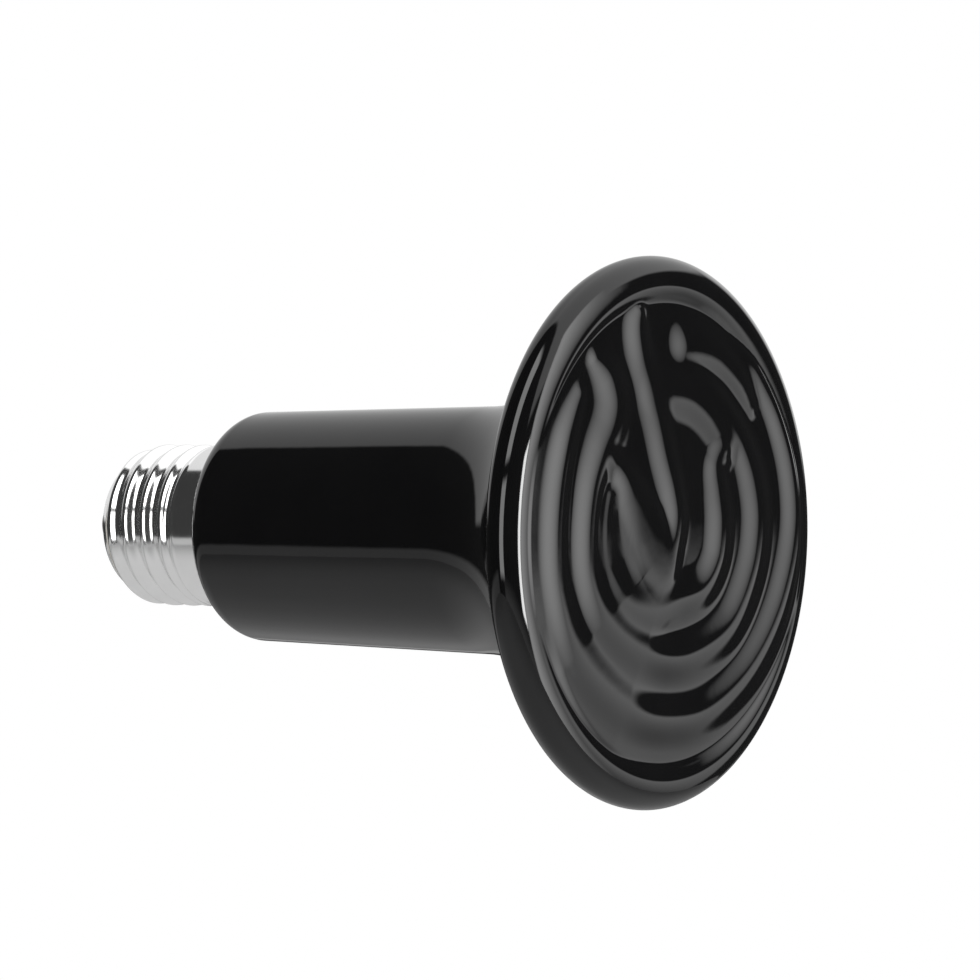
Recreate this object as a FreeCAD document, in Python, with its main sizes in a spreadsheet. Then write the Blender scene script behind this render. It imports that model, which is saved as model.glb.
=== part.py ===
# Ceramic heat emitter with an E27 screw cap. Millimetres.
#
# The emitter is drawn with its axis of symmetry along X. The tip of the cap, where its centre
# contact touches the lampholder, is the origin, and the ridged face looks along +X. Seen along
# the axis, Y runs across the face and Z runs up it.

import FreeCAD, Part
import math
import os

import Sketcher

doc = FreeCAD.newDocument("ceramic_heat_emitter")
along_x = FreeCAD.Vector(1, 0, 0)
across_sheet = FreeCAD.Vector(0, 0, 1)


# Sizes

SIZES = [
    ("overall_length", 110.0, "tip of the cap to the highest ridge"),
    ("face_diameter", 85.0, "widest circle of the rim"),
    ("rim_setback", 4.8, "highest ridge back to the widest circle"),
    ("rim_rise", 3.2, "widest circle forward to the crest of the rim's lip"),
    ("rim_width", 4.5, "widest circle in to the crest of the rim's lip"),
    ("rim_back_rounding", 3.2, "radius of the rim behind the widest circle"),
    ("rim_back_angle", 15.0, "slope of the back where it meets the rim, degrees"),
    ("lip_width", 2.2, "crest of the lip in to the valley floor"),
    ("face_dome", 2.0, "rise of the valley floor from the lip's crest circle to the middle"),
    ("ridge_height", 0.64, "valley floor to crest near the middle of the face"),
    ("ridge_swell", 0.01, "room for the swell of a ridge between its sections"),
    ("ridge_foot", 0.2, "how far the foot of a ridge goes below the valley floor"),
    ("face_thickness", 10.15, "ceramic between the hollow and the top of the valley floor"),
    ("shoulder_face", 27.8, "tip to the flat end of the ceramic, where the collar ends"),
    ("shoulder_rounding", 4.0, "radius of the rounded shoulder"),
    ("stem_diameter", 36.6, "stem carried on to the flat end of the ceramic"),
    ("stem_taper", 1.3, "slope of the stem's side, degrees"),
    ("neck_end", 12.0, "tip to the open end of the ceramic neck"),
    ("neck_diameter", 22.0, "outside of the neck inside the cap"),
    ("neck_bore", 15.0, "hollow of the neck"),
    ("cavity_start", 30.0, "tip to where the neck's hollow widens"),
    ("cavity_diameter", 27.0, "hollow of the stem"),
    ("cavity_flare", 78.0, "tip to where the stem's hollow widens"),
    ("cavity_mouth", 42.0, "hollow behind the face"),
    ("shell_wall", 0.35, "sheet of the screw shell"),
    ("thread_diameter", 26.1, "over the crests of the E27 thread"),
    ("thread_end", 21.0, "tip to the last thread, where the collar starts"),
    ("collar_diameter", 25.8, "plain collar of the screw shell"),
    ("shell_bend", 9.8, "tip to where the shell's nose starts to curve inward"),
    ("shell_cheek", 7.0, "tip to the second bend of the shell's nose"),
    ("shell_cheek_diameter", 24.0, "shell at that bend"),
    ("shell_nose", 4.6, "tip to the small end of the shell"),
    ("shell_nose_diameter", 18.4, "small end of the shell"),
    ("insulator_depth", 10.2, "tip to the inner end of the insulator"),
    ("insulator_ledge", 0.4, "ring of insulator around the contact's plate"),
    ("contact_diameter", 8.4, "plate of the centre contact"),
    ("contact_plate", 1.0, "thickness of the contact's plate"),
    ("contact_edge", 0.4, "bevel round the contact's plate"),
    ("shank_diameter", 2.6, "tube of the contact through the insulator"),
    ("shank_length", 10.0, "tip to the inner end of the contact's tube"),
    ("contact_bore", 1.5, "hole through the contact"),
    ("solder_diameter", 3.4, "solder at the tip"),
    ("solder_dish", 0.6, "depth of the dish that holds the solder"),
    ("solder_depth", 2.0, "tip to the inner end of the solder"),
    ("cement_start", 13.0, "tip to the inner end of the cement"),
    ("lead_diameter", 1.2, "wire of the two leads"),
    ("lead_spacing", 8.0, "between the leads in the stem"),
    ("lead_turn", 18.0, "tip to where the contact's lead leaves its straight run"),
    ("lead_joint", 12.0, "tip to where the contact's lead comes on to the axis"),
    ("shell_lead_exit", 11.1, "tip to where the shell's lead turns out to the shell"),
    ("sleeve_diameter", 3.2, "outside of the insulating tubes"),
    ("sleeve_bore", 1.3, "hole of the insulating tubes"),
    ("sleeve_start", 24.0, "tip to the near end of the insulating tubes"),
    ("sleeve_gap", 9.2, "far end of the insulating tubes to the bottom of the hollow"),
]

sheet = doc.addObject("Spreadsheet::Sheet", "Sizes")
for row, (alias, value, note) in enumerate(SIZES, start=1):
    sheet.set(f"A{row}", alias)
    sheet.set(f"B{row}", str(value))
    sheet.set(f"C{row}", note)
    sheet.setAlias(f"B{row}", alias)
doc.recompute()


def size(alias):
    """A driving dimension, read back from the sheet."""
    return float(sheet.get(alias))


def value_of(expression):
    """What an expression of sheet values comes to."""
    return float(sheet.evalExpression(expression.replace("Sizes.", "")))


# Sketches whose corners are bound to the sheet


def new_body(label):
    """An empty body that carries the name of its piece."""
    body = doc.addObject("PartDesign::Body", label)
    body.Label = label
    return body


def origin_item(body, role):
    """One of the body's own origin planes or axes."""
    return next(item for item in body.Origin.OriginFeatures if item.Role == role)


def sketch_on(body, name, role):
    """A sketch on one of the body's own origin planes."""
    sketch = body.newObject("Sketcher::SketchObject", name)
    sketch.AttachmentSupport = [(origin_item(body, role), "")]
    sketch.MapMode = "FlatFace"
    return sketch


def bind(sketch, constraint, expression):
    """Adds a dimension to a sketch and ties it to an expression of sheet values."""
    index = sketch.addConstraint(constraint)
    sketch.setExpression(f"Constraints[{index}]", expression)


def outline(sketch, corners):
    """A closed outline through corners, each two expressions: its place along X and its distance
    from X."""
    points = [FreeCAD.Vector(value_of(place), value_of(reach), 0) for place, reach in corners]
    for start, finish in zip(points, points[1:] + points[:1]):
        sketch.addGeometry(Part.LineSegment(start, finish), False)
    for index, corner in enumerate(corners):
        following = (index + 1) % len(corners)
        sketch.addConstraint(Sketcher.Constraint("Coincident", index, 2, following, 1))
        places = (("DistanceX", points[index].x, -2), ("DistanceY", points[index].y, -1))
        for expression, (kind, place, axis) in zip(corner, places):
            if expression == "0":
                sketch.addConstraint(Sketcher.Constraint("PointOnObject", index, 1, axis))
            else:
                bind(sketch, Sketcher.Constraint(kind, -1, 1, index, 1, place), expression)


def turned(label, corners):
    """A piece turned about X from a closed outline."""
    body = new_body(label)
    sketch = sketch_on(body, label + "_outline", "XY_Plane")
    outline(sketch, corners)
    revolution = body.newObject("PartDesign::Revolution", label + "_turned")
    revolution.Profile = sketch
    revolution.ReferenceAxis = (origin_item(body, "X_Axis"), [""])
    revolution.Angle = 360
    body.Tip = revolution
    return body


# Screw cap

BARREL = "Sizes.thread_diameter / 2"
COLLAR = "Sizes.collar_diameter / 2"
CHEEK = "Sizes.shell_cheek_diameter / 2"
NOSE = "Sizes.shell_nose_diameter / 2"
WALL = "Sizes.shell_wall"
INSIDE = f"{COLLAR} - {WALL}"


def make_screw_shell():
    """The rolled sheet of the cap: a plain collar, the barrel and a nose that bends inward."""
    return turned(
        "screw_shell",
        [
            ("Sizes.shoulder_face", COLLAR),
            ("Sizes.thread_end", COLLAR),
            ("Sizes.thread_end", BARREL),
            ("Sizes.shell_bend", BARREL),
            ("Sizes.shell_cheek", CHEEK),
            ("Sizes.shell_nose", NOSE),
            ("Sizes.shell_nose", f"{NOSE} - {WALL}"),
            ("Sizes.shell_cheek", f"{CHEEK} - {WALL}"),
            ("Sizes.shell_bend", INSIDE),
            ("Sizes.shoulder_face", INSIDE),
        ],
    )


def make_cap_insulator():
    """The light ceramic ring in the nose of the shell, with the hole that takes the contact."""
    return turned(
        "cap_insulator",
        [
            ("Sizes.contact_plate", "Sizes.shank_diameter / 2"),
            ("Sizes.contact_plate", "Sizes.contact_diameter / 2 + Sizes.insulator_ledge"),
            ("Sizes.shell_nose", f"{NOSE} - {WALL}"),
            ("Sizes.shell_cheek", f"{CHEEK} - {WALL}"),
            ("Sizes.shell_bend", INSIDE),
            ("Sizes.insulator_depth", INSIDE),
            ("Sizes.insulator_depth", "Sizes.shank_diameter / 2"),
        ],
    )


def make_centre_contact():
    """The eyelet at the tip: a plate with a dished hole, and a tube through the insulator."""
    return turned(
        "centre_contact",
        [
            ("0", "Sizes.solder_diameter / 2"),
            ("0", "Sizes.contact_diameter / 2 - Sizes.contact_edge"),
            ("Sizes.contact_edge", "Sizes.contact_diameter / 2"),
            ("Sizes.contact_plate", "Sizes.contact_diameter / 2"),
            ("Sizes.contact_plate", "Sizes.shank_diameter / 2"),
            ("Sizes.shank_length", "Sizes.shank_diameter / 2"),
            ("Sizes.shank_length", "Sizes.contact_bore / 2"),
            ("Sizes.solder_dish", "Sizes.contact_bore / 2"),
        ],
    )


def make_contact_solder():
    """The solder that fills the dished hole of the contact, flush with its plate."""
    return turned(
        "contact_solder",
        [
            ("0", "0"),
            ("0", "Sizes.solder_diameter / 2"),
            ("Sizes.solder_dish", "Sizes.contact_bore / 2"),
            ("Sizes.solder_depth", "Sizes.contact_bore / 2"),
            ("Sizes.solder_depth", "0"),
        ],
    )


def make_cap_cement():
    """The cement that holds the shell on the ceramic neck."""
    return turned(
        "cap_cement",
        [
            ("Sizes.cement_start", "Sizes.neck_diameter / 2"),
            ("Sizes.cement_start", INSIDE),
            ("Sizes.shoulder_face", INSIDE),
            ("Sizes.shoulder_face", "Sizes.neck_diameter / 2"),
        ],
    )


# Ceramic body
#
# The casting is turned about X from one profile. Its round stretches are drawn as short chords,
# so every turned face is a plain cone.

CHORD_TURN = math.radians(25)
CHORD_LENGTH = 6.0
FLOOR_STEPS = 4
LIP_STEPS = 4


def crest_height():
    """The most that a ridge stands above the valley floor."""
    return size("ridge_height") + size("ridge_swell")


def widest():
    """Where the widest circle of the rim lies along X."""
    return size("overall_length") - size("rim_setback")


def crest_radius():
    """How far the crest of the rim's lip lies from the axis."""
    return size("face_diameter") / 2 - size("rim_width")


def floor_height(radius):
    """Where the domed valley floor lies along X, at a distance from the axis."""
    share = min(1.0, radius / crest_radius())
    return size("overall_length") - crest_height() - size("face_dome") * share**2


def cavity_end():
    """The flat bottom of the hollow behind the face."""
    return size("overall_length") - crest_height() - size("face_thickness")


def lip():
    """The front of the rim, a quarter of an ellipse from its crest to the widest circle."""
    crest = crest_radius()
    reach = size("rim_width")
    turns = [math.pi / 2 * step / LIP_STEPS for step in range(LIP_STEPS + 1)]
    return [
        FreeCAD.Vector(
            widest() + size("rim_rise") * math.cos(turn), crest + reach * math.sin(turn), 0
        )
        for turn in turns
    ]


def chords(centre, radius, start, finish):
    """Places along an arc from one angle to another, both ends included."""
    turn = abs(finish - start)
    count = math.ceil(max(turn / CHORD_TURN, turn * radius / CHORD_LENGTH))
    angles = [start + (finish - start) * step / count for step in range(count + 1)]
    return [
        centre + FreeCAD.Vector(math.cos(angle), math.sin(angle), 0) * radius for angle in angles
    ]


def back_rounding():
    """Centre, radius and end of the arc behind the widest circle."""
    radius = size("rim_back_rounding")
    centre = FreeCAD.Vector(widest(), size("face_diameter") / 2 - radius, 0)
    return centre, radius, math.radians(180 - size("rim_back_angle"))


def flare_arc():
    """Centre and radius of the flare, which is tangent to the rim's back and to the stem."""
    taper = math.radians(size("stem_taper"))
    rim_centre, rim_radius, back_turn = back_rounding()
    outward = FreeCAD.Vector(math.cos(back_turn), math.sin(back_turn), 0)
    rim_edge = rim_centre + outward * rim_radius
    along = rim_edge.x - size("shoulder_face")
    above = rim_edge.y - size("stem_diameter") / 2
    clearance = above * math.cos(taper) - along * math.sin(taper)
    radius = clearance / (1 - math.sin(back_turn - taper))
    return rim_edge + outward * radius, radius


def casting_profile():
    """Half of the section through the casting, from the middle of the face to the hollow."""
    taper = math.radians(size("stem_taper"))
    step = (crest_radius() - size("lip_width")) / FLOOR_STEPS
    floor = [
        FreeCAD.Vector(floor_height(step * ring), step * ring, 0)
        for ring in range(FLOOR_STEPS + 1)
    ]
    rim_centre, rim_radius, back_turn = back_rounding()
    rim = lip() + chords(rim_centre, rim_radius, math.pi / 2, back_turn)[1:]
    flare_centre, flare_radius = flare_arc()
    flare = chords(flare_centre, flare_radius, back_turn - math.pi, taper - math.pi / 2)
    rounding = size("shoulder_rounding")
    stem_there = size("stem_diameter") / 2 + rounding * math.tan(taper)
    shoulder_centre = FreeCAD.Vector(
        size("shoulder_face") + rounding, stem_there - rounding / math.cos(taper), 0
    )
    shoulder = chords(shoulder_centre, rounding, math.pi / 2 + taper, math.pi)
    neck = size("neck_diameter") / 2
    bore = size("neck_bore") / 2
    hollow = size("cavity_diameter") / 2
    inside = [
        FreeCAD.Vector(size("shoulder_face"), neck, 0),
        FreeCAD.Vector(size("neck_end"), neck, 0),
        FreeCAD.Vector(size("neck_end"), bore, 0),
        FreeCAD.Vector(size("cavity_start"), bore, 0),
        FreeCAD.Vector(size("cavity_start") + hollow - bore, hollow, 0),
        FreeCAD.Vector(size("cavity_flare"), hollow, 0),
        FreeCAD.Vector(cavity_end(), size("cavity_mouth") / 2, 0),
        FreeCAD.Vector(cavity_end(), 0, 0),
    ]
    return floor + rim + flare[1:] + shoulder + inside


# Ridges on the face
#
# Each ridge is lofted through sections along a route over the face: across, up, the half width of
# the ridge and its share of the full height. The routes are drawn on a face whose lip has the
# crest radius below and grow with it. A section has corners at shares of the half width and of
# the height from foot to crest.

LAYOUT_RADIUS = 38.0
ROUTES = {
    "outer_ridge": [
        (-24.6, 21.2, 2.4, 0.5), (-28.8, 14.4, 3.8, 1.0), (-31.2, 7.0, 4.2, 1.0),
        (-32.0, -1.0, 4.2, 1.0), (-31.0, -8.0, 4.4, 1.0), (-27.5, -15.5, 4.8, 1.0),
        (-21.0, -21.8, 5.0, 1.0), (-11.0, -27.0, 5.0, 1.0), (0.0, -28.8, 5.0, 1.0),
        (11.0, -27.6, 5.2, 1.0), (22.3, -21.7, 5.4, 1.0), (30.5, -12.5, 5.5, 1.0),
        (35.0, -1.0, 5.4, 1.0), (34.4, 9.0, 5.0, 1.0), (30.5, 18.0, 4.4, 1.0),
        (24.5, 24.6, 3.6, 0.9), (18.0, 28.8, 2.6, 0.7), (13.0, 30.4, 1.8, 0.3),
    ],
    "middle_ridge": [
        (-20.2, 26.4, 2.6, 0.6), (-16.8, 23.6, 5.0, 1.0), (-15.6, 20.0, 5.8, 1.0),
        (-16.8, 16.4, 5.6, 1.0), (-19.8, 12.4, 5.0, 1.0), (-22.6, 7.0, 4.5, 1.0),
        (-23.8, 0.0, 4.4, 1.0), (-23.0, -6.0, 4.6, 1.0), (-19.5, -11.5, 4.8, 1.0),
        (-13.0, -16.0, 4.8, 1.0), (-4.5, -18.8, 4.8, 1.0), (5.0, -18.8, 5.0, 1.0),
        (15.6, -14.8, 5.5, 1.0), (21.6, -7.0, 5.6, 1.0), (23.7, 1.0, 5.6, 1.0),
        (22.6, 8.0, 5.4, 1.0), (19.3, 14.0, 4.6, 1.0), (14.5, 19.0, 3.4, 0.9),
        (9.0, 22.6, 2.6, 0.7), (4.0, 24.2, 1.8, 0.3),
    ],
    "inner_ridge": [
        (-17.6, 6.0, 2.4, 0.5), (-18.7, 1.5, 3.6, 0.8), (-17.6, -5.0, 4.4, 0.9),
        (-13.0, -10.0, 4.8, 1.0), (-6.0, -11.4, 4.8, 1.0), (0.5, -10.2, 4.8, 1.0),
        (7.5, -8.6, 4.8, 1.0), (11.5, -4.5, 5.0, 1.0), (12.7, 1.0, 5.2, 1.0),
        (12.2, 6.0, 4.8, 0.9), (11.6, 10.0, 4.0, 0.8), (13.4, 12.6, 2.6, 0.6),
    ],
    "mound": [(-15.0, 2.0, 5.0, 0.7), (-11.5, -4.0, 6.5, 0.9), (-7.0, -8.0, 6.0, 0.9)],
    "hook_arm": [
        (-17.8, 12.2, 2.4, 0.6), (-13.2, 8.0, 4.6, 1.0), (-9.0, 2.6, 5.4, 1.0),
        (-5.0, -3.6, 5.4, 0.9),
    ],
    "hook_stem": [
        (-3.4, -6.0, 4.6, 0.9), (-1.2, -2.0, 4.6, 1.0), (0.0, 2.4, 4.6, 1.0),
        (-0.8, 6.6, 4.6, 1.0), (-2.8, 12.0, 4.8, 0.9), (-4.4, 17.5, 5.0, 0.8),
        (-6.8, 24.0, 5.0, 0.8), (-8.4, 29.0, 4.6, 1.0), (-8.4, 31.8, 4.2, 1.0),
        (-7.9, 33.6, 3.0, 1.0),
    ],
    "upper_branch": [
        (-6.2, 22.4, 4.2, 0.35), (-2.6, 24.2, 4.6, 0.6), (0.2, 27.4, 4.6, 0.85),
        (3.4, 30.0, 4.6, 1.0), (8.5, 29.9, 5.2, 1.0), (14.5, 27.2, 5.0, 1.0),
        (19.5, 23.6, 4.6, 0.9), (22.8, 19.8, 3.0, 0.5),
    ],
    "lower_branch": [
        (-6.0, 21.0, 4.8, 0.3), (0.0, 22.4, 6.0, 0.75), (5.0, 21.4, 6.4, 0.95),
        (9.5, 18.4, 6.4, 1.0), (12.6, 14.8, 5.4, 0.9), (13.4, 12.2, 3.0, 0.5),
    ],
}
SECTION = [(-1.12, 0.0), (-0.28, 1.0), (0.28, 1.0), (1.12, 0.0)]
TIP_REACH = 0.9
TIP_WIDTH = 0.4
TIP_DEPTH = 0.1
LIP_CLEARANCE = 0.2


def ridge_section(place, heading, half_width, rise):
    """One section across a ridge, as a closed outline that stands on the domed floor. It goes no
    farther out than the crest of the lip."""
    aside = FreeCAD.Vector(0, -heading.z, heading.y)
    limit = crest_radius() - LIP_CLEARANCE
    corners = []
    for reach, height in SECTION:
        corner = place + aside * (half_width * reach)
        if corner.Length > limit:
            corner = corner * (limit / corner.Length)
        foot = floor_height(corner.Length) - size("ridge_foot")
        corners.append(corner + along_x * (foot + (size("ridge_foot") + rise) * height))
    return Part.makePolygon(corners + corners[:1])


def make_ridge(route):
    """A ridge with a low tip at each end."""
    growth = crest_radius() / LAYOUT_RADIUS
    places = [FreeCAD.Vector(0, across, up) * growth for across, up, _, _ in route]
    widths = [half_width * growth for _, _, half_width, _ in route]
    rises = [size("ridge_height") * share for _, _, _, share in route]
    first = (places[0] - places[1]).normalize() * (widths[0] * TIP_REACH)
    last = (places[-1] - places[-2]).normalize() * (widths[-1] * TIP_REACH)
    places = [places[0] + first] + places + [places[-1] + last]
    widths = [widths[0] * TIP_WIDTH] + widths + [widths[-1] * TIP_WIDTH]
    rises = [-TIP_DEPTH] + rises + [-TIP_DEPTH]
    sections = []
    for index, place in enumerate(places):
        before = places[max(index - 1, 0)]
        after = places[min(index + 1, len(places) - 1)]
        heading = (after - before).normalize()
        sections.append(ridge_section(place, heading, widths[index], rises[index]))
    return Part.makeLoft(sections, True, False)


def make_ceramic_body():
    """The casting with its neck, shoulder, stem, flare, rim and hollow, and the ridges on it."""
    profile = casting_profile()
    face = Part.Face(Part.makePolygon(profile + profile[:1]))
    casting = face.revolve(FreeCAD.Vector(), along_x, 360)
    for route in ROUTES.values():
        casting = casting.fuse(make_ridge(route))
    feature = doc.addObject("Part::Feature", "ceramic_body")
    feature.Label = "ceramic_body"
    feature.Shape = casting.Solids[0]
    feature.Placement = FreeCAD.Placement()
    return feature


# Leads and their insulating tubes

HOLLOW_END = (
    "Sizes.overall_length - Sizes.ridge_height - Sizes.ridge_swell - Sizes.face_thickness"
)


def mitred_rod(points, radius):
    """A round rod along straight runs that meet at mitred corners."""
    section = Part.Wire(Part.Circle(points[0], points[1] - points[0], radius).toShape())
    return Part.makePolygon(points).makePipeShell([section], True, False, 1)


def lead_feature(label, shape):
    """A lead as a piece of its own."""
    feature = doc.addObject("Part::Feature", label)
    feature.Label = label
    feature.Shape = shape
    feature.Placement = FreeCAD.Placement()
    return feature


def make_contact_lead():
    """The wire from the casting along the stem, then on to the axis and to the solder."""
    aside = -size("lead_spacing") / 2
    points = [
        FreeCAD.Vector(cavity_end(), aside, 0),
        FreeCAD.Vector(size("lead_turn"), aside, 0),
        FreeCAD.Vector(size("lead_joint"), 0, 0),
        FreeCAD.Vector(size("solder_depth"), 0, 0),
    ]
    return lead_feature("contact_lead", mitred_rod(points, size("lead_diameter") / 2))


def make_shell_lead():
    """The wire from the casting along the stem, then out past the neck to the shell's wall."""
    aside = size("lead_spacing") / 2
    radius = size("lead_diameter") / 2
    wall = size("collar_diameter") / 2 - size("shell_wall")
    touching = math.sqrt(wall**2 - radius**2)
    points = [
        FreeCAD.Vector(cavity_end(), aside, 0),
        FreeCAD.Vector(size("shell_lead_exit"), aside, 0),
        FreeCAD.Vector(size("shell_lead_exit"), touching, 0),
    ]
    return lead_feature("shell_lead", mitred_rod(points, radius))


def make_sleeve(label, side):
    """An insulating tube threaded on one lead in the stem."""
    body = new_body(label)
    sketch = sketch_on(body, label + "_section", "YZ_Plane")
    for expression in ("Sizes.sleeve_diameter / 2", "Sizes.sleeve_bore / 2"):
        circle = Part.Circle(FreeCAD.Vector(), across_sheet, value_of(expression))
        index = sketch.addGeometry(circle, False)
        sketch.addConstraint(Sketcher.Constraint("Coincident", index, 3, -1, 1))
        bind(sketch, Sketcher.Constraint("Radius", index, value_of(expression)), expression)
    pad = body.newObject("PartDesign::Pad", label + "_length")
    pad.Profile = sketch
    pad.setExpression("Length", f"{HOLLOW_END} - Sizes.sleeve_gap - Sizes.sleeve_start")
    body.Tip = pad
    body.setExpression("Placement.Base.x", "Sizes.sleeve_start")
    body.setExpression("Placement.Base.y", f"{side} * Sizes.lead_spacing / 2")
    return body


# The pieces, checked and written

pieces = [
    make_ceramic_body(),
    make_screw_shell(),
    make_cap_insulator(),
    make_centre_contact(),
    make_contact_solder(),
    make_cap_cement(),
    make_contact_lead(),
    make_shell_lead(),
    make_sleeve("contact_sleeve", -1),
    make_sleeve("shell_sleeve", 1),
]
doc.recompute()

for item in doc.Objects:
    if {"Invalid", "Error"} & set(item.State):
        raise RuntimeError(f"{item.Name} failed: {item.State}")

os.makedirs("parts", exist_ok=True)
for piece in pieces:
    if piece.Shape.isNull() or not piece.Shape.isValid():
        raise RuntimeError(f"{piece.Label} has no valid shape")
    piece.Shape.exportStep(f"parts/{piece.Label}.step")
    box = piece.Shape.BoundBox
    print(
        piece.Label,
        len(piece.Shape.Solids),
        round(piece.Shape.Volume, 1),
        f"X {box.XMin:.2f} to {box.XMax:.2f}",
        f"Z {box.ZMin:.2f} to {box.ZMax:.2f}",
    )
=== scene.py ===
import bpy
import numpy as np
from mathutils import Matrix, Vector


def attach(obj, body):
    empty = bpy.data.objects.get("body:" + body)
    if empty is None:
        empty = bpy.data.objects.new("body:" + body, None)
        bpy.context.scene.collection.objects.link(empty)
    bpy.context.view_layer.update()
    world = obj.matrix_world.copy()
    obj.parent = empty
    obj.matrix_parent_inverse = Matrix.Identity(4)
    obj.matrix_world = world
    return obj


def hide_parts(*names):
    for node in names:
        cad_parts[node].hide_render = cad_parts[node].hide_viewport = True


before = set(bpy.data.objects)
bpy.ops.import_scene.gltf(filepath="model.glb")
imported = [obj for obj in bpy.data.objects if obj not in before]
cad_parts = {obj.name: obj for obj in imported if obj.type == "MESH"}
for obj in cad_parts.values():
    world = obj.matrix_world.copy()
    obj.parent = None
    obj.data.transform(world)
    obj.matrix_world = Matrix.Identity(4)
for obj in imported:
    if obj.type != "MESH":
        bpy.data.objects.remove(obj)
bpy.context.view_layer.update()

# The casting
#
# One piece of pressed ceramic, dipped in a black glaze and fired: a neck that goes into the cap,
# a hollow stem, a trumpet flare, a rounded rim, and a face with the heating coil's ridges.

# Sizes are in millimetres along X, the axis, or from it, and MM brings them to metres.
MM = 0.001
OVERALL_LENGTH = 109.96
FACE_RADIUS = 42.48

# The face is a dome, filled out to the sides, with ridges that fade out at the rim's crest.
RIDGE_HEIGHT = 0.65
RIDGE_FADE = 2.6
FACE_CROWN = 2.0
SIDE_FILL = 0.62
EDGE_FLOOR = OVERALL_LENGTH - RIDGE_HEIGHT - FACE_CROWN

# The rim is an ellipse in front and an arc behind. Inside its crest a lip steps down to the face,
# and on the flank, to the upper right, the lip is wider and the dome rounder.
RIM_X = 105.2
RIM_RISE = 3.2
RIM_CREST = 38.0
RIM_BLEND = 0.35
RIM_BACK_CENTRE = np.array([RIM_X, 39.3])
RIM_BACK = np.radians(165)
LIP_WIDTH = 4.2
LIP_STEP = 1.2
FLANK_MIDDLE = np.radians(46)
FLANK_REACH = np.radians(40)
FLANK_WIDER = 4.0
FLANK_ROUNDER = 0.4

# Webs of clay fill the valleys low on the left.
WEB_MIDDLE = np.radians(229)
WEB_REACH = np.radians(36)
WEB_RISE = 0.62
WEB_FULLNESS = 1.6
WEB_START = 6.0
WEB_RAMP = 6.0

STEM_TAPER = np.radians(1.3)
STEM_RADIUS = 18.3
SHOULDER_FACE = 27.8
SHOULDER_ROUNDING = 4.0
NECK_RADIUS = 11.0
NECK_END = 12.0
NECK_BORE = 7.5
CAVITY_START = 30.0
CAVITY_RADIUS = 13.5
CAVITY_FLARE = 78.0
CAVITY_END = 99.2
CAVITY_MOUTH = 21.0

SPOKES = 360
FACE_RINGS = 150
RIM_FRONT_STEPS = 24
RIM_BACK_STEPS = 14
FLARE_STEPS = 40
STEM_STEPS = 8
SHOULDER_STEPS = 20
BORE_STEPS = 3
ROUTE_STEPS = 40

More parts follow.
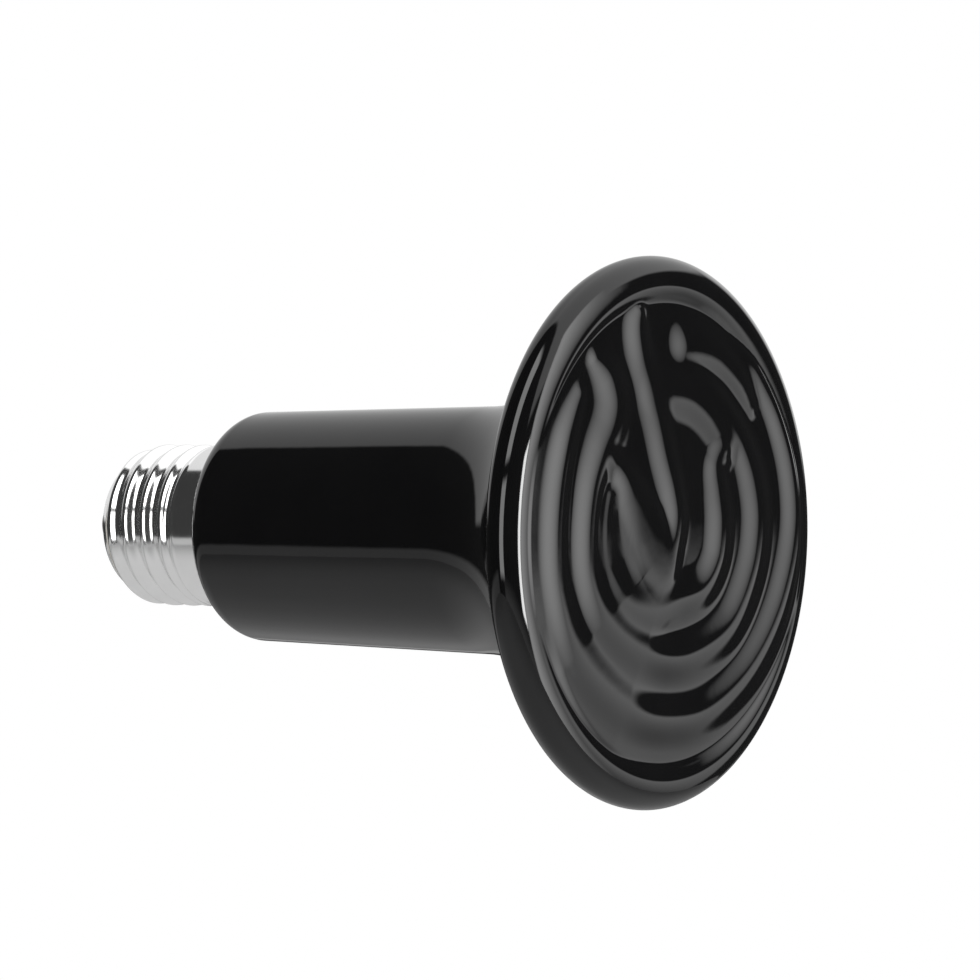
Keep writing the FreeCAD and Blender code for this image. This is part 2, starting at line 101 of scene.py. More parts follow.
# Each route is a ridge's way over the face: across, up, the half width, the share of the height.
ROUTES = {
    "outer_ridge": [
        (-24.6, 21.2, 2.4, 0.5), (-28.8, 14.4, 3.8, 1.0), (-31.2, 7.0, 4.2, 1.0),
        (-32.0, -1.0, 4.2, 1.0), (-31.0, -8.0, 4.4, 1.0), (-27.5, -15.5, 4.8, 1.0),
        (-21.0, -21.8, 5.0, 1.0), (-11.0, -27.0, 5.0, 1.0), (0.0, -28.8, 5.0, 1.0),
        (11.0, -27.6, 5.2, 1.1), (22.3, -21.7, 5.4, 1.15), (30.5, -12.5, 5.5, 1.2),
        (35.0, -1.0, 5.4, 1.2), (34.4, 9.0, 5.0, 1.2), (30.5, 18.0, 4.4, 1.2),
        (25.2, 24.4, 3.8, 1.1), (21.0, 27.6, 2.8, 0.8), (17.6, 29.4, 2.0, 0.4),
    ],
    "middle_ridge": [
        (-20.2, 26.4, 2.6, 0.6), (-16.8, 23.6, 5.0, 1.0), (-15.6, 20.0, 5.8, 1.0),
        (-16.8, 16.4, 5.6, 1.0), (-19.8, 12.4, 5.0, 1.0), (-22.6, 7.0, 4.5, 1.0),
        (-23.8, 0.0, 4.4, 1.0), (-23.0, -6.0, 4.6, 1.0), (-19.5, -11.5, 4.8, 1.0),
        (-13.0, -16.0, 4.8, 1.0), (-4.5, -18.8, 4.8, 1.0), (5.0, -18.8, 5.0, 1.05),
        (15.6, -14.8, 5.5, 1.1), (21.6, -7.0, 5.6, 1.15), (23.7, 1.0, 5.6, 1.15),
        (22.6, 8.0, 5.4, 1.1), (19.3, 14.0, 4.6, 1.05), (14.5, 19.0, 4.0, 1.0),
        (9.8, 22.2, 3.0, 0.8), (6.0, 23.8, 2.2, 0.4),
    ],
    "inner_ridge": [
        (-17.6, 6.0, 2.4, 0.3), (-18.7, 1.5, 3.6, 0.45), (-17.6, -5.0, 4.4, 0.5),
        (-13.0, -10.0, 4.8, 0.8), (-6.0, -11.4, 4.8, 0.95), (0.5, -10.2, 4.8, 1.0),
        (7.5, -8.6, 4.8, 1.05), (11.5, -4.5, 5.0, 1.1), (12.7, 1.0, 5.2, 1.1),
        (12.2, 6.0, 4.8, 0.9), (11.6, 10.0, 4.0, 0.8), (13.4, 12.6, 2.6, 0.6),
    ],
    "mound": [(-12.4, 5.0, 5.6, 0.5), (-8.8, -1.0, 8.4, 0.85), (-5.0, -7.0, 9.0, 0.9)],
    "hook_web": [(-5.6, 2.4, 3.0, 0.5), (-4.4, -1.2, 3.6, 0.8), (-3.4, -5.0, 4.0, 0.9)],
    "hook_arm": [
        (-17.8, 12.2, 2.4, 0.6), (-13.2, 8.0, 4.6, 1.0), (-9.0, 2.6, 5.4, 1.0),
        (-5.0, -3.6, 5.4, 0.9),
    ],
    "hook_stem": [
        (-3.4, -6.0, 4.6, 0.9), (-1.2, -2.0, 4.6, 1.0), (0.0, 2.4, 4.6, 1.0),
        (-0.8, 6.6, 4.6, 1.0), (-2.8, 12.0, 4.8, 0.9), (-4.4, 17.5, 5.0, 0.8),
        (-6.8, 24.0, 5.0, 0.8), (-8.4, 29.0, 4.6, 1.0), (-8.4, 31.8, 4.2, 1.0),
        (-7.9, 33.6, 3.0, 1.0),
    ],
    "upper_branch": [
        (4.6, 29.0, 5.4, 0.9), (9.0, 29.0, 6.0, 1.0), (14.4, 27.4, 5.8, 1.05),
        (19.4, 23.8, 5.0, 1.0), (22.8, 19.6, 3.2, 0.5),
    ],
    "lower_branch": [
        (-4.5, 21.8, 5.0, 0.6), (0.5, 22.2, 6.0, 0.9), (6.0, 21.0, 6.0, 1.0),
        (11.0, 18.0, 5.8, 0.95), (14.0, 14.4, 5.0, 0.85), (14.4, 11.6, 3.4, 0.5),
    ],
}


def smooth_route(route):
    """Dense places, half widths and shares along a route: one cubic between each two points,
    whose slope at a point is half the way from the point before it to the point after it."""
    points = np.array([route[0]] + list(route) + [route[-1]])
    share = (np.arange(ROUTE_STEPS) / ROUTE_STEPS)[:, None]
    weights = [
        -0.5 * share + share**2 - 0.5 * share**3,
        1 - 2.5 * share**2 + 1.5 * share**3,
        0.5 * share + 2 * share**2 - 1.5 * share**3,
        -0.5 * share**2 + 0.5 * share**3,
    ]
    spans = [
        sum(weight * points[span + corner] for corner, weight in enumerate(weights))
        for span in range(len(points) - 3)
    ]
    return np.concatenate(spans + [points[-1:]])


def ridge_rise(across, up, route):
    """How far up its full height one ridge is: the squared cosine of a quarter turn times the
    distance to the route over the half width. It is 1 on the crest and 0 past the half width."""
    places = smooth_route(route)
    starts, runs = places[:-1], np.diff(places, axis=0)
    lengths = (runs[:, :2] ** 2).sum(axis=1)
    nearest = np.full(across.shape, np.inf)
    strength = np.zeros(across.shape)
    for start, run, length in zip(starts, runs, lengths):
        aside, above = across - start[0], up - start[1]
        share = np.clip((aside * run[0] + above * run[1]) / length, 0, 1)
        half_width = start[2] + share * run[2]
        distance = np.hypot(aside - share * run[0], above - share * run[1]) / half_width
        closer = distance < nearest
        nearest = np.where(closer, distance, nearest)
        strength = np.where(closer, start[3] + share * run[3], strength)
    return strength * np.cos(np.pi / 2 * np.minimum(1, nearest)) ** 2


def round_about(angle, middle, reach):
    """1 in the middle of a sector of the face and 0 at its reach: a squared cosine of the turn."""
    turn = np.mod(angle - middle + np.pi, 2 * np.pi) - np.pi
    return np.cos(np.pi / 2 * np.clip(turn / reach, -1, 1)) ** 2


def eased(share):
    """A smooth step from 0 to 1: three times the square less twice the cube of the share."""
    return share**2 * (3 - 2 * share)


def face_height(radius, angle):
    """Where the front lies along X: the domed valley floor, which runs smoothly up into the lip of
    the rim, and on it the ridges. Ridges that meet join as one minus the product of what each
    leaves free, so their crests stay level. Low to the left, webs fill the valleys."""
    across, up = radius * np.cos(angle), radius * np.sin(angle)
    flank = round_about(angle, FLANK_MIDDLE, FLANK_REACH)
    fall = FACE_CROWN * (1 - SIDE_FILL * (1 - FLANK_ROUNDER * flank) * np.cos(angle) ** 2)
    floor = EDGE_FLOOR + FACE_CROWN - fall * (radius / RIM_CREST) ** 2
    free = np.ones(radius.shape)
    for route in ROUTES.values():
        free *= 1 - ridge_rise(across, up, route)
    web = np.minimum(1, WEB_FULLNESS * round_about(angle, WEB_MIDDLE, WEB_REACH))
    free *= 1 - WEB_RISE * web * np.clip((radius - WEB_START) / WEB_RAMP, 0, 1)
    fade = np.clip((RIM_CREST - radius) / RIDGE_FADE, 0, 1)
    surface = floor + RIDGE_HEIGHT * (1 - free) * eased(fade)
    near_rim = np.clip((RIM_CREST - radius) / (LIP_WIDTH + FLANK_WIDER * flank), 0, 1)
    lip = RIM_X + RIM_RISE - LIP_STEP * np.sin(np.pi / 2 * near_rim) ** 2
    softness = RIM_BLEND * near_rim
    return (surface + lip + np.sqrt((surface - lip) ** 2 + softness**2)) / 2


def arc(centre, radius, start, finish, count):
    """Places along an arc of the section: the centre plus the radius times cosine and sine."""
    turn = np.linspace(start, finish, count)
    return centre + radius * np.stack([np.cos(turn), np.sin(turn)], axis=1)


def straight(start, finish, count):
    """Places at even steps along a straight stretch of the section, without its first end."""
    return np.linspace(start, finish, count + 1)[1:]


def casting_section():
    """The section from the rim's front edge round the back to the middle of the hollow's end. The
    flare is the one arc that leaves the rim's back and runs into the tapered stem smoothly."""
    quarter = np.linspace(0, np.pi / 2, RIM_FRONT_STEPS)[:, None]
    front = np.array([RIM_X, RIM_CREST]) + np.concatenate(
        [RIM_RISE * np.cos(quarter), (FACE_RADIUS - RIM_CREST) * np.sin(quarter)], axis=1
    )
    back_rounding = FACE_RADIUS - RIM_BACK_CENTRE[1]
    rim = arc(RIM_BACK_CENTRE, back_rounding, np.pi / 2, RIM_BACK, RIM_BACK_STEPS)[1:]
    back = rim[-1]
    clearance = (back[1] - STEM_RADIUS) * np.cos(STEM_TAPER)
    clearance -= (back[0] - SHOULDER_FACE) * np.sin(STEM_TAPER)
    flare_radius = clearance / (1 - np.sin(RIM_BACK - STEM_TAPER))
    flare_centre = back + flare_radius * np.array([np.cos(RIM_BACK), np.sin(RIM_BACK)])
    flare_turn = (RIM_BACK - np.pi, STEM_TAPER - np.pi / 2)
    flare = arc(flare_centre, flare_radius, *flare_turn, FLARE_STEPS)[1:]
    stem_there = STEM_RADIUS + SHOULDER_ROUNDING * np.tan(STEM_TAPER)
    shoulder_centre = np.array(
        [SHOULDER_FACE + SHOULDER_ROUNDING, stem_there - SHOULDER_ROUNDING / np.cos(STEM_TAPER)]
    )
    shoulder_turn = (np.pi / 2 + STEM_TAPER, np.pi)
    shoulder = arc(shoulder_centre, SHOULDER_ROUNDING, *shoulder_turn, SHOULDER_STEPS)
    corners = [
        (SHOULDER_FACE, NECK_RADIUS),
        (NECK_END, NECK_RADIUS),
        (NECK_END, NECK_BORE),
        (CAVITY_START, NECK_BORE),
        (CAVITY_START + CAVITY_RADIUS - NECK_BORE, CAVITY_RADIUS),
        (CAVITY_FLARE, CAVITY_RADIUS),
        (CAVITY_END, CAVITY_MOUTH),
    ]
    stretches = [front, rim, flare, straight(flare[-1], shoulder[0], STEM_STEPS), shoulder[1:]]
    for start, finish in zip([shoulder[-1]] + corners, corners):
        stretches.append(straight(start, finish, BORE_STEPS))
    return np.concatenate(stretches)


def smooth_piece(name, places, faces):
    """A smooth shaded object from places in millimetres and faces."""
    mesh = bpy.data.meshes.new(name)
    mesh.from_pydata((places * MM).tolist(), [], faces)
    mesh.shade_smooth()
    piece = bpy.data.objects.new(name, mesh)
    bpy.context.collection.objects.link(piece)
    return piece


def closed_skin(name, rings, first_pole, last_pole):
    """A closed mesh from rings of places with a pole at each end. The rings are an array of ring,
    spoke and coordinate in millimetres, and the spokes go round X from Y towards Z."""
    count, spokes = rings.shape[:2]
    places = np.concatenate([rings.reshape(-1, 3), [first_pole, last_pole]])
    index = np.arange(count * spokes).reshape(count, spokes)
    after = np.roll(index, -1, axis=1)
    quads = np.stack([index[:-1], index[1:], after[1:], after[:-1]], axis=-1).reshape(-1, 4)
    first = np.stack([np.full(spokes, count * spokes), index[0], after[0]], axis=1)
    last = np.stack([np.full(spokes, count * spokes + 1), after[-1], index[-1]], axis=1)
    return smooth_piece(name, places, quads.tolist() + first.tolist() + last.tolist())


spoke_angles = 2 * np.pi * np.arange(SPOKES) / SPOKES
face_radii = RIM_CREST * np.arange(1, FACE_RINGS + 1) / FACE_RINGS
face_radius_grid, face_angle_grid = np.meshgrid(face_radii, spoke_angles, indexing="ij")
wall = casting_section()[1:]
ring_x = np.concatenate(
    [face_height(face_radius_grid, face_angle_grid), np.repeat(wall[:, :1], SPOKES, axis=1)]
)
ring_radius = np.concatenate([face_radius_grid, np.repeat(wall[:, 1:], SPOKES, axis=1)])
casting_rings = np.stack(
    [ring_x, ring_radius * np.cos(spoke_angles), ring_radius * np.sin(spoke_angles)], axis=-1
)
middle_x = float(face_height(np.zeros(1), np.zeros(1))[0])
casting = closed_skin("glazed_casting", casting_rings, (middle_x, 0, 0), (CAVITY_END, 0, 0))

# The mottling that every finish here has, each with its own values: a cloudy pattern in the
# piece's own space, which gives a tint between two colours, a roughness and a height. The first
# three numbers are where a Mix node keeps its colour sockets.
MIX_DARK, MIX_LIGHT, MIX_RESULT = 6, 7, 2
MOTTLING_DETAIL = 4
RELIEF_STRENGTH = 0.3
MOTTLING_SOCKETS = [
    ("Scale", "INPUT", "NodeSocketFloat"),
    ("Dark", "INPUT", "NodeSocketColor"),
    ("Light", "INPUT", "NodeSocketColor"),
    ("Smooth", "INPUT", "NodeSocketFloat"),
    ("Rough", "INPUT", "NodeSocketFloat"),
    ("Color", "OUTPUT", "NodeSocketColor"),
    ("Roughness", "OUTPUT", "NodeSocketFloat"),
    ("Height", "OUTPUT", "NodeSocketFloat"),
]

mottling = bpy.data.node_groups.new("mottling", "ShaderNodeTree")
for socket, way, kind in MOTTLING_SOCKETS:
    mottling.interface.new_socket(socket, in_out=way, socket_type=kind)
nodes, links = mottling.nodes, mottling.links
taken = nodes.new("NodeGroupInput")
given = nodes.new("NodeGroupOutput")
place = nodes.new("ShaderNodeTexCoord")
cloud = nodes.new("ShaderNodeTexNoise")
cloud.inputs["Detail"].default_value = MOTTLING_DETAIL
links.new(place.outputs["Object"], cloud.inputs["Vector"])
links.new(taken.outputs["Scale"], cloud.inputs["Scale"])
tint = nodes.new("ShaderNodeMix")
tint.data_type = "RGBA"
links.new(cloud.outputs["Fac"], tint.inputs["Factor"])
links.new(taken.outputs["Dark"], tint.inputs[MIX_DARK])
links.new(taken.outputs["Light"], tint.inputs[MIX_LIGHT])
links.new(tint.outputs[MIX_RESULT], given.inputs["Color"])
dullness = nodes.new("ShaderNodeMapRange")
links.new(cloud.outputs["Fac"], dullness.inputs["Value"])
links.new(taken.outputs["Smooth"], dullness.inputs["To Min"])
links.new(taken.outputs["Rough"], dullness.inputs["To Max"])
links.new(dullness.outputs["Result"], given.inputs["Roughness"])
links.new(cloud.outputs["Fac"], given.inputs["Height"])


def mottled(name, scale, dark, light, smooth, rough, relief, metallic=0.0):
    """A material whose colour, roughness and relief in metres all follow the mottling."""
    material = bpy.data.materials.new(name)
    material.use_nodes = True
    nodes, links = material.node_tree.nodes, material.node_tree.links
    shader = nodes["Principled BSDF"]
    shader.inputs["Metallic"].default_value = metallic
    pattern = nodes.new("ShaderNodeGroup")
    pattern.node_tree = mottling
    pattern.inputs["Scale"].default_value = scale
    pattern.inputs["Dark"].default_value = (*dark, 1)
    pattern.inputs["Light"].default_value = (*light, 1)
    pattern.inputs["Smooth"].default_value = smooth
    pattern.inputs["Rough"].default_value = rough
    links.new(pattern.outputs["Color"], shader.inputs["Base Color"])
    links.new(pattern.outputs["Roughness"], shader.inputs["Roughness"])
    bump = nodes.new("ShaderNodeBump")
    bump.inputs["Strength"].default_value = RELIEF_STRENGTH
    bump.inputs["Distance"].default_value = relief
    links.new(pattern.outputs["Height"], bump.inputs["Height"])
    links.new(bump.outputs["Normal"], shader.inputs["Normal"])
    return material


glaze = mottled(
    "black_glaze", scale=80, dark=(0.002, 0.002, 0.0022), light=(0.005, 0.005, 0.0053),
    smooth=0.03, rough=0.07, relief=0.0001,
)
casting.data.materials.append(glaze)
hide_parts("ceramic_body")
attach(casting, "root")

# The screw shell
#
# Thin sheet, nickel plated: a plain collar that is cemented over the neck, a rolled E27 thread,
# and a nose that is bent inward over the insulator.

PITCH = 25.4 / 7
THREAD_RADIUS = 13.05
THREAD_DEPTH = 0.95
THREAD_PHASE = -0.92
THREAD_FIRST = 6.4
THREAD_LAST = 21.0
RUN_IN = 2.4
RUN_OUT = 1.8
RUN_OUT_PAST = 0.4
COLLAR_RADIUS = 12.9
COLLAR_BLEND = 0.8
SHEET = 0.35
SHELL_ROWS = 210
SHELL_SPOKES = 180
NOSE_PROFILE = [(4.6, 9.2), (5.4, 10.3), (6.6, 11.6), (8.0, 12.5), (9.8, 13.05)]


def shell_outside(x, angle):
    """Radius of the sheet's outside. The thread is a cosine wave along X that shifts by one pitch
    in a turn, cut into the crest line, and it fades in at the nose and out at the collar."""
    nose_x, nose_radius = np.array(NOSE_PROFILE).T
    to_collar = eased(np.clip((x - THREAD_LAST) / COLLAR_BLEND, 0, 1))
    crest = np.interp(x, nose_x, nose_radius) - (THREAD_RADIUS - COLLAR_RADIUS) * to_collar
    fade_in = eased(np.clip((x - THREAD_FIRST + RUN_IN / 2) / RUN_IN, 0, 1))
    fade_out = eased(np.clip((THREAD_LAST + RUN_OUT_PAST - x) / RUN_OUT, 0, 1))
    wave = np.cos(2 * np.pi * (x - THREAD_PHASE) / PITCH - angle)
    return crest - THREAD_DEPTH * fade_in * fade_out * (1 - wave) / 2


def closed_ring(name, rings):
    """A closed mesh from rings of places that run round a section and back to the first ring."""
    count, spokes = rings.shape[:2]
    index = np.arange(count * spokes).reshape(count, spokes)
    below = np.roll(index, -1, axis=0)
    quads = np.stack(
        [index, below, np.roll(below, -1, axis=1), np.roll(index, -1, axis=1)], axis=-1
    )
    return smooth_piece(name, rings.reshape(-1, 3), quads.reshape(-1, 4).tolist())


def tube_wall(name, x, outside, inside):
    """A closed wall round X between two radii on one grid of X and turn: along the outside from
    the far end to the near one, and back along the inside."""
    radius = np.concatenate([outside[::-1], inside])
    along = np.repeat(np.concatenate([x[::-1], x]), SHELL_SPOKES, axis=1)
    rings = [along, radius * np.cos(shell_angles), radius * np.sin(shell_angles)]
    return closed_ring(name, np.stack(rings, axis=-1))


shell_x = np.linspace(NOSE_PROFILE[0][0], SHOULDER_FACE, SHELL_ROWS)[:, None]
shell_angles = (2 * np.pi * np.arange(SHELL_SPOKES) / SHELL_SPOKES)[None, :]
sheet_outside = shell_outside(shell_x, shell_angles)
shell = tube_wall("threaded_shell", shell_x, sheet_outside, sheet_outside - SHEET)

# Rolling leaves fine lines round the sheet, so their pattern is far finer along X than around.
ROLLING_SCALE = (3200, 160, 160)
ROLLING_STRENGTH = 0.12
ROLLING_RELIEF = 0.00002

nickel = mottled(
    "nickel_sheet", scale=240, dark=(0.86, 0.86, 0.86), light=(0.94, 0.94, 0.94),
    smooth=0.07, rough=0.17, relief=0.00001, metallic=1.0,
)
nodes, links = nickel.node_tree.nodes, nickel.node_tree.links
place = nodes.new("ShaderNodeTexCoord")
stretch = nodes.new("ShaderNodeMapping")
stretch.inputs["Scale"].default_value = ROLLING_SCALE
rolled = nodes.new("ShaderNodeTexNoise")
rolled.inputs["Scale"].default_value = 1
links.new(place.outputs["Object"], stretch.inputs["Vector"])
links.new(stretch.outputs["Vector"], rolled.inputs["Vector"])
streaks = nodes.new("ShaderNodeBump")
streaks.inputs["Strength"].default_value = ROLLING_STRENGTH
streaks.inputs["Distance"].default_value = ROLLING_RELIEF
links.new(rolled.outputs["Fac"], streaks.inputs["Height"])
links.new(nodes["Bump"].outputs["Normal"], streaks.inputs["Normal"])
links.new(streaks.outputs["Normal"], nodes["Principled BSDF"].inputs["Normal"])
shell.data.materials.append(nickel)
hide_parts("screw_shell")
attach(shell, "root")

# The insulator
#
# A ring of light steatite in the nose of the shell. Its face is domed and a little uneven from
# the pressing, and the contact's tube passes through it.

INSULATOR_SECTION = [
    (1.05, 1.4), (1.0, 4.3), (1.25, 4.9), (1.9, 5.75), (2.8, 6.8), (3.7, 7.85), (4.5, 8.7),
    (5.4, 9.85), (6.6, 11.1), (8.0, 11.5), (10.0, 11.5), (10.2, 11.3), (10.2, 1.4),
]
INSULATOR_SPOKES = 160
INSULATOR_STEPS = 4

corners = np.array(INSULATOR_SECTION)
sides = zip(corners, np.roll(corners, -1, axis=0))
section = np.concatenate([straight(start, finish, INSULATOR_STEPS) for start, finish in sides])
section = section[::-1]
turn = 2 * np.pi * np.arange(INSULATOR_SPOKES) / INSULATOR_SPOKES
insulator_rings = np.stack(
    [
        np.repeat(section[:, :1], INSULATOR_SPOKES, axis=1),
        section[:, 1:] * np.cos(turn),
        section[:, 1:] * np.sin(turn),
    ],
    axis=-1,
)
insulator = closed_ring("domed_insulator", insulator_rings)

steatite = mottled(
    "light_ceramic", scale=900, dark=(0.62, 0.60, 0.55), light=(0.74, 0.72, 0.67),
    smooth=0.38, rough=0.55, relief=0.00003,
)
insulator.data.materials.append(steatite)
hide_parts("cap_insulator")
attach(insulator, "root")

# The cement
#
# Pale cement between the neck and the shell, put in wet and baked hard. It fills the shell's
# thread from the inside, so its outside is the inside of the sheet.

CEMENT_START = 13.0
CEMENT_ROWS = 90

cement_x = np.linspace(CEMENT_START, SHOULDER_FACE, CEMENT_ROWS)[:, None]
cement_outside = shell_outside(cement_x, shell_angles) - SHEET
cement_inside = np.full_like(cement_outside, NECK_RADIUS)
cement = tube_wall("thread_cement", cement_x, cement_outside, cement_inside)

chalky = mottled(
    "cement", scale=1400, dark=(0.34, 0.32, 0.28), light=(0.58, 0.56, 0.50),
    smooth=0.82, rough=0.96, relief=0.00012,
)
cement.data.materials.append(chalky)
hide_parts("cap_cement")
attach(cement, "root")

# The shell's lead
#
# Bare nickel wire from the casting along the stem, bent out past the neck and welded to the
# inside of the threaded sheet.

LEAD_RADIUS = 0.6
LEAD_ASIDE = 4.0
LEAD_EXIT = 11.1
LEAD_BEND = 1.2
LEAD_SPOKES = 24
LEAD_STEPS = 30
BEND_STEPS = 12
JOINT_STEPS = 8

joint_radius = float(shell_outside(np.array([LEAD_EXIT]), np.zeros(1))[0]) - SHEET
bend = np.linspace(0, np.pi / 2, BEND_STEPS)
path_x = np.concatenate(
    [
        np.linspace(CAVITY_END, LEAD_EXIT + LEAD_BEND, LEAD_STEPS)[:-1],
        LEAD_EXIT + LEAD_BEND * (1 - np.sin(bend)),
        np.full(JOINT_STEPS, LEAD_EXIT),
    ]
)
path_y = np.concatenate(
    [
        np.full(LEAD_STEPS - 1, LEAD_ASIDE),
        LEAD_ASIDE + LEAD_BEND * (1 - np.cos(bend)),
        straight(LEAD_ASIDE + LEAD_BEND, joint_radius, JOINT_STEPS),
    ]
)
heading = np.stack([np.gradient(path_x), np.gradient(path_y)], axis=1)
heading /= np.linalg.norm(heading, axis=1, keepdims=True)
wire_turn = 2 * np.pi * np.arange(LEAD_SPOKES) / LEAD_SPOKES
wire_rings = np.stack(
    [
        path_x[:, None] - LEAD_RADIUS * heading[:, 1:] * np.cos(wire_turn),
        path_y[:, None] + LEAD_RADIUS * heading[:, :1] * np.cos(wire_turn),
        np.repeat(LEAD_RADIUS * np.sin(wire_turn)[None, :], len(path_x), axis=0),
    ],
    axis=-1,
)
lead_ends = [(path_x[end], path_y[end], 0) for end in (0, -1)]
lead = closed_skin("bent_lead", wire_rings, *lead_ends)

wire = mottled(
    "lead_wire", scale=1200, dark=(0.50, 0.48, 0.45), light=(0.66, 0.64, 0.60),
    smooth=0.3, rough=0.5, relief=0.00001, metallic=1.0,
)
lead.data.materials.append(wire)
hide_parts("shell_lead")
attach(lead, "root")

# The centre contact
#
# A plated eyelet, pressed and riveted through the insulator. Its solid has the real shape, so it
# stays and gets its metal, on the object and not on the mesh.


def painted(node, material):
    """Gives the solid of a node a material, through the material slot of its object."""
    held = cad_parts[node].material_slots[0]
    held.link = "OBJECT"
    held.material = material


contact_metal = mottled(
    "contact_metal", scale=700, dark=(0.42, 0.40, 0.37), light=(0.60, 0.58, 0.54),
    smooth=0.22, rough=0.42, relief=0.00002, metallic=1.0,
)
painted("centre_contact", contact_metal)

# The solder
#
# A drop of tin solder, run in hot from outside, that closes the eyelet and holds the end of the
# lead in it. The solid stays.

solder = mottled(
    "solder", scale=1500, dark=(0.56, 0.56, 0.57), light=(0.68, 0.68, 0.69),
    smooth=0.25, rough=0.5, relief=0.00003, metallic=1.0,
)
painted("contact_solder", solder)

# The contact's lead
#
# The same nickel wire as the shell's lead, straight from the casting into the solder. The solid
# stays.

painted("contact_lead", wire)

# The leads' tubes
#
# One short tube of fired, unglazed ceramic over each lead, which keeps the two apart inside the
# stem and the neck. Both solids stay.

tube = mottled(
    "insulating_tube", scale=1100, dark=(0.66, 0.63, 0.56), light=(0.78, 0.75, 0.69),
    smooth=0.45, rough=0.65, relief=0.00003,
)
painted("contact_sleeve", tube)
painted("shell_sleeve", tube)

# The studio
#
# A white background and a dark room behind the camera. All light is the world's: a pale roof
# above and behind, a pale table below, a broad glow before the face with a bright narrow strip
# beside it, and windows to the camera's side.

AIM = Vector((0.06813, 0.00933, 0.00609))
CAMERA_PLACE = Vector((0.58427, -0.72780, 0.02180))
LENS = 208.8

camera_data = bpy.data.cameras.new("camera")
camera_data.lens = LENS
camera = bpy.data.objects.new("camera", camera_data)
bpy.context.collection.objects.link(camera)
camera.location = CAMERA_PLACE
camera.rotation_euler = (AIM - CAMERA_PLACE).to_track_quat("-Z", "Y").to_euler()
bpy.context.scene.camera = camera
bpy.context.scene.view_settings.view_transform = "Standard"

world = bpy.data.worlds.new("studio")
bpy.context.scene.world = world
world.use_nodes = True
nodes, links = world.node_tree.nodes, world.node_tree.links
background = nodes["Background"]
background.inputs["Color"].default_value = (1, 1, 1, 1)
direction = nodes.new("ShaderNodeTexCoord")
split = nodes.new("ShaderNodeSeparateXYZ")
links.new(direction.outputs["Generated"], split.inputs["Vector"])


def combined(operation, *values):
    """A chain of math nodes that takes sockets or numbers together, from the first on."""
    result = values[0]
    for value in values[1:]:
        node = nodes.new("ShaderNodeMath")
        node.operation = operation
        for socket, entry in zip(node.inputs, (result, value)):
            if isinstance(entry, (int, float)):
                socket.default_value = entry
            else:
                links.new(entry, socket)
        result = node.outputs["Value"]
    return result


def band(value, low, high):
    """A smooth step of a value from 0 at low to 1 at high."""
    step = nodes.new("ShaderNodeMapRange")
    step.interpolation_type = "SMOOTHSTEP"
    step.inputs["From Min"].default_value = low
    step.inputs["From Max"].default_value = high
    links.new(value, step.inputs["Value"])
    return step.outputs["Result"]


def window(value, low, high, soft):
    """1 where a value lies between low and high, with soft edges outside of them."""
    return combined("MULTIPLY", band(value, low - soft, low), band(value, high + soft, high))


def graded(value, low, high, first, last):
    """A level that runs from first at low to last at high and stays there on both sides."""
    ramp = nodes.new("ShaderNodeMapRange")
    ramp.inputs["From Min"].default_value = low
    ramp.inputs["From Max"].default_value = high
    ramp.inputs["To Min"].default_value = first
    ramp.inputs["To Max"].default_value = last
    links.new(value, ramp.inputs["Value"])
    return ramp.outputs["Result"]


# Where each light begins and is full, as parts of the direction along X, Y and Z or as its
# azimuth in degrees round Z from X, and then its level, or its levels from one side to the other.
ROOM_LEVEL = 0.04
ROOF_OVERHEAD_Z = (0.34, 0.42)
ROOF_BEHIND_Z = (0.0, 0.06)
ROOF_BEHIND_X = (0.12, -0.08)
ROOF_Y = (-0.06, 0.0)
ROOF_LEVELS_X = (-0.55, -0.2, 0.8, 1.3)
TABLE_BACK_Z = (-0.01, -0.08)
TABLE_BACK_AZIMUTH = (45, 67, 5)
TABLE_BACK_LEVELS_Z = (-0.08, -0.34, 1.2, 0.5)
TABLE_FRONT_Z = (-0.2, -0.4)
TABLE_FRONT_AZIMUTH = (-60, 62, 9)
TABLE_FRONT_LEVEL = 0.55
TABLE_FAR_Z = (-0.20, -0.26)
TABLE_FAR_X = (-0.1, -0.3)
TABLE_FAR_LEVEL = 0.5
GLOW_AZIMUTH = (20, 49, 4)
GLOW_Z = (-0.75, 0.6, 0.1)
GLOW_GRADE_AZIMUTH = (52, 24)
GLOW_LEVELS = (0.3, 4.2)
STRIP_AZIMUTH = (9, 16, 2)
STRIP_Z = (-0.22, 0.19, 0.03)
STRIP_LEVEL = 18.0
SIDE_LOWER_Z = (-0.22, 0.3, 0.08)
SIDE_UPPER_Z = (0.5, 0.95, 0.08)
SIDE_X = (0.08, 0.45, 0.05)
SIDE_Y = (-0.2, -0.3)
SIDE_LEVEL = 4.0

x_way, y_way, z_way = split.outputs
azimuth = combined("ARCTAN2", y_way, x_way)
roof = combined(
    "MULTIPLY",
    combined(
        "MAXIMUM",
        band(z_way, *ROOF_OVERHEAD_Z),
        combined("MULTIPLY", band(z_way, *ROOF_BEHIND_Z), band(x_way, *ROOF_BEHIND_X)),
    ),
    band(y_way, *ROOF_Y),
    graded(x_way, *ROOF_LEVELS_X),
)
table_back = combined(
    "MULTIPLY",
    band(z_way, *TABLE_BACK_Z),
    window(azimuth, *np.radians(TABLE_BACK_AZIMUTH)),
    graded(z_way, *TABLE_BACK_LEVELS_Z),
)
table_front = combined(
    "MULTIPLY",
    band(z_way, *TABLE_FRONT_Z),
    window(azimuth, *np.radians(TABLE_FRONT_AZIMUTH)),
    TABLE_FRONT_LEVEL,
)
table_far = combined(
    "MULTIPLY", band(z_way, *TABLE_FAR_Z), band(x_way, *TABLE_FAR_X), TABLE_FAR_LEVEL
)
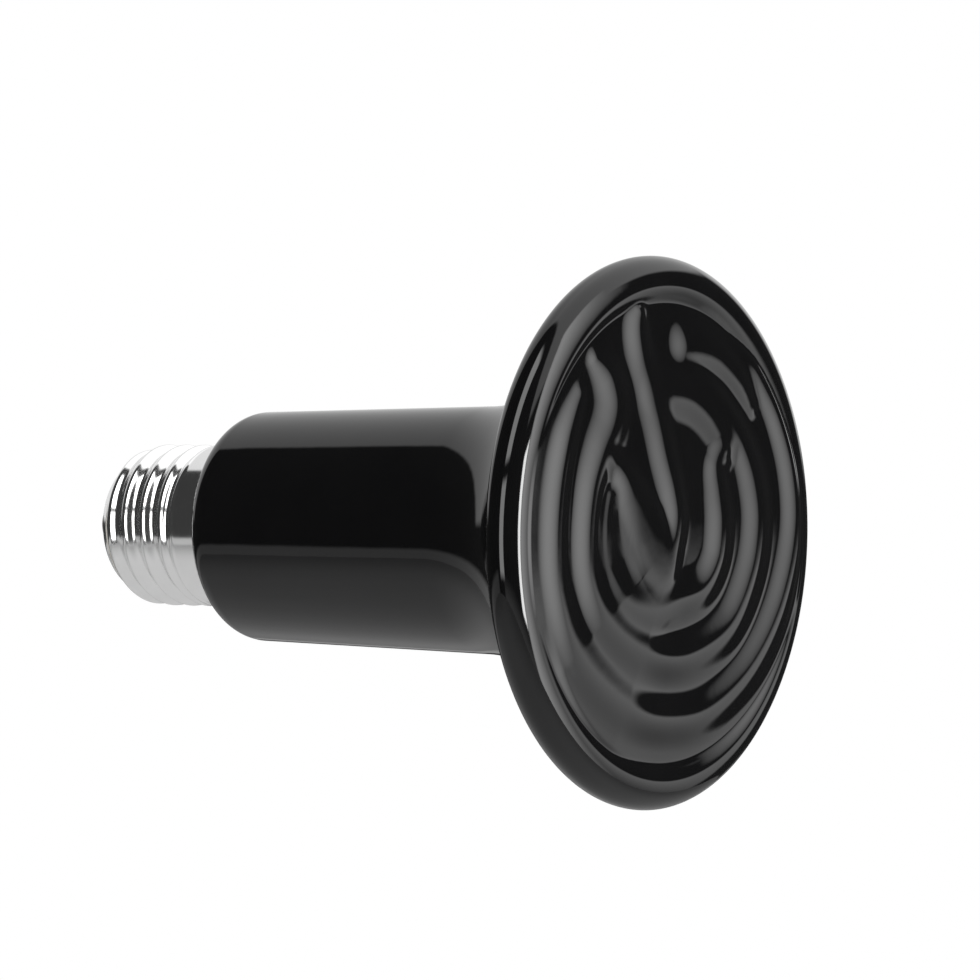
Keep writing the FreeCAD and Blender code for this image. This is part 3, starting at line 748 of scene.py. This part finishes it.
glow = combined(
    "MULTIPLY",
    window(azimuth, *np.radians(GLOW_AZIMUTH)),
    window(z_way, *GLOW_Z),
    graded(azimuth, *np.radians(GLOW_GRADE_AZIMUTH), *GLOW_LEVELS),
)
strip = combined(
    "MULTIPLY",
    window(azimuth, *np.radians(STRIP_AZIMUTH)),
    window(z_way, *STRIP_Z),
    STRIP_LEVEL,
)
side = combined(
    "MULTIPLY",
    combined("MAXIMUM", window(z_way, *SIDE_LOWER_Z), window(z_way, *SIDE_UPPER_Z)),
    window(x_way, *SIDE_X),
    band(y_way, *SIDE_Y),
    SIDE_LEVEL,
)
path = nodes.new("ShaderNodeLightPath")
seen = combined(
    "MAXIMUM",
    roof, ROOM_LEVEL, table_back, table_front, table_far, glow, strip, side,
    path.outputs["Is Camera Ray"],
)
links.new(seen, background.inputs["Strength"])

# The floor
#
# A pale painted round table well below the part. The camera sees it as white as the background,
# and the glaze and the metal see its paint, with painted shade that darkens it towards the edge.

FLOOR_RADIUS = 900.0
FLOOR_DEPTH = -350.0
FLOOR_RINGS = 40
FLOOR_SPOKES = 96
# Where the painted shade at the table's edge begins and is full, and the colour it darkens to.
FLOOR_SHADE_START = 0.5
FLOOR_SHADE_END = 0.95
FLOOR_EDGE_SHADE_COLOUR = (0.3, 0.3, 0.3, 1)

floor_radii = FLOOR_RADIUS * np.arange(1, FLOOR_RINGS + 1) / FLOOR_RINGS
floor_turn = 2 * np.pi * np.arange(FLOOR_SPOKES) / FLOOR_SPOKES
floor_rings = np.stack(
    [
        np.outer(floor_radii, np.cos(floor_turn)),
        np.outer(floor_radii, np.sin(floor_turn)),
        np.full((FLOOR_RINGS, FLOOR_SPOKES), FLOOR_DEPTH),
    ],
    axis=-1,
)
count = FLOOR_RINGS * FLOOR_SPOKES
index = np.arange(count).reshape(FLOOR_RINGS, FLOOR_SPOKES)
after = np.roll(index, -1, axis=1)
quads = np.stack([index[:-1], index[1:], after[1:], after[:-1]], axis=-1).reshape(-1, 4)
middle = np.stack([np.full(FLOOR_SPOKES, count), index[0], after[0]], axis=1)
floor_places = np.concatenate([floor_rings.reshape(-1, 3), [[0, 0, FLOOR_DEPTH]]])
floor = smooth_piece("floor", floor_places, quads.tolist() + middle.tolist())
floor.data.shade_flat()

pale = mottled(
    "floor_paint_with_painted_shade", scale=12, dark=(0.54, 0.54, 0.54), light=(0.60, 0.60, 0.60),
    smooth=0.55, rough=0.7, relief=0.0001,
)
nodes, links = pale.node_tree.nodes, pale.node_tree.links
shader = nodes["Principled BSDF"]
place = nodes.new("ShaderNodeTexCoord")
outward = nodes.new("ShaderNodeVectorMath")
outward.operation = "LENGTH"
links.new(place.outputs["Object"], outward.inputs[0])
# The paint darkens from the middle out to the edge: painted shade, as if less light fell there.
edge_shade_ramp = nodes.new("ShaderNodeMapRange")
edge_shade_ramp.interpolation_type = "SMOOTHSTEP"
edge_shade_ramp.inputs["From Min"].default_value = FLOOR_SHADE_START
edge_shade_ramp.inputs["From Max"].default_value = FLOOR_SHADE_END
links.new(outward.outputs["Value"], edge_shade_ramp.inputs["Value"])
edge_shaded = nodes.new("ShaderNodeMix")
edge_shaded.data_type = "RGBA"
edge_shaded.inputs[MIX_LIGHT].default_value = FLOOR_EDGE_SHADE_COLOUR
links.new(edge_shade_ramp.outputs["Result"], edge_shaded.inputs["Factor"])
links.new(nodes["Group"].outputs["Color"], edge_shaded.inputs[MIX_DARK])
links.new(edge_shaded.outputs[MIX_RESULT], shader.inputs["Base Color"])
seen_white = nodes.new("ShaderNodeEmission")
path = nodes.new("ShaderNodeLightPath")
halves = nodes.new("ShaderNodeMixShader")
links.new(path.outputs["Is Camera Ray"], halves.inputs["Fac"])
links.new(shader.outputs["BSDF"], halves.inputs[1])
links.new(seen_white.outputs["Emission"], halves.inputs[2])
links.new(halves.outputs["Shader"], nodes["Material Output"].inputs["Surface"])
floor.data.materials.append(pale)
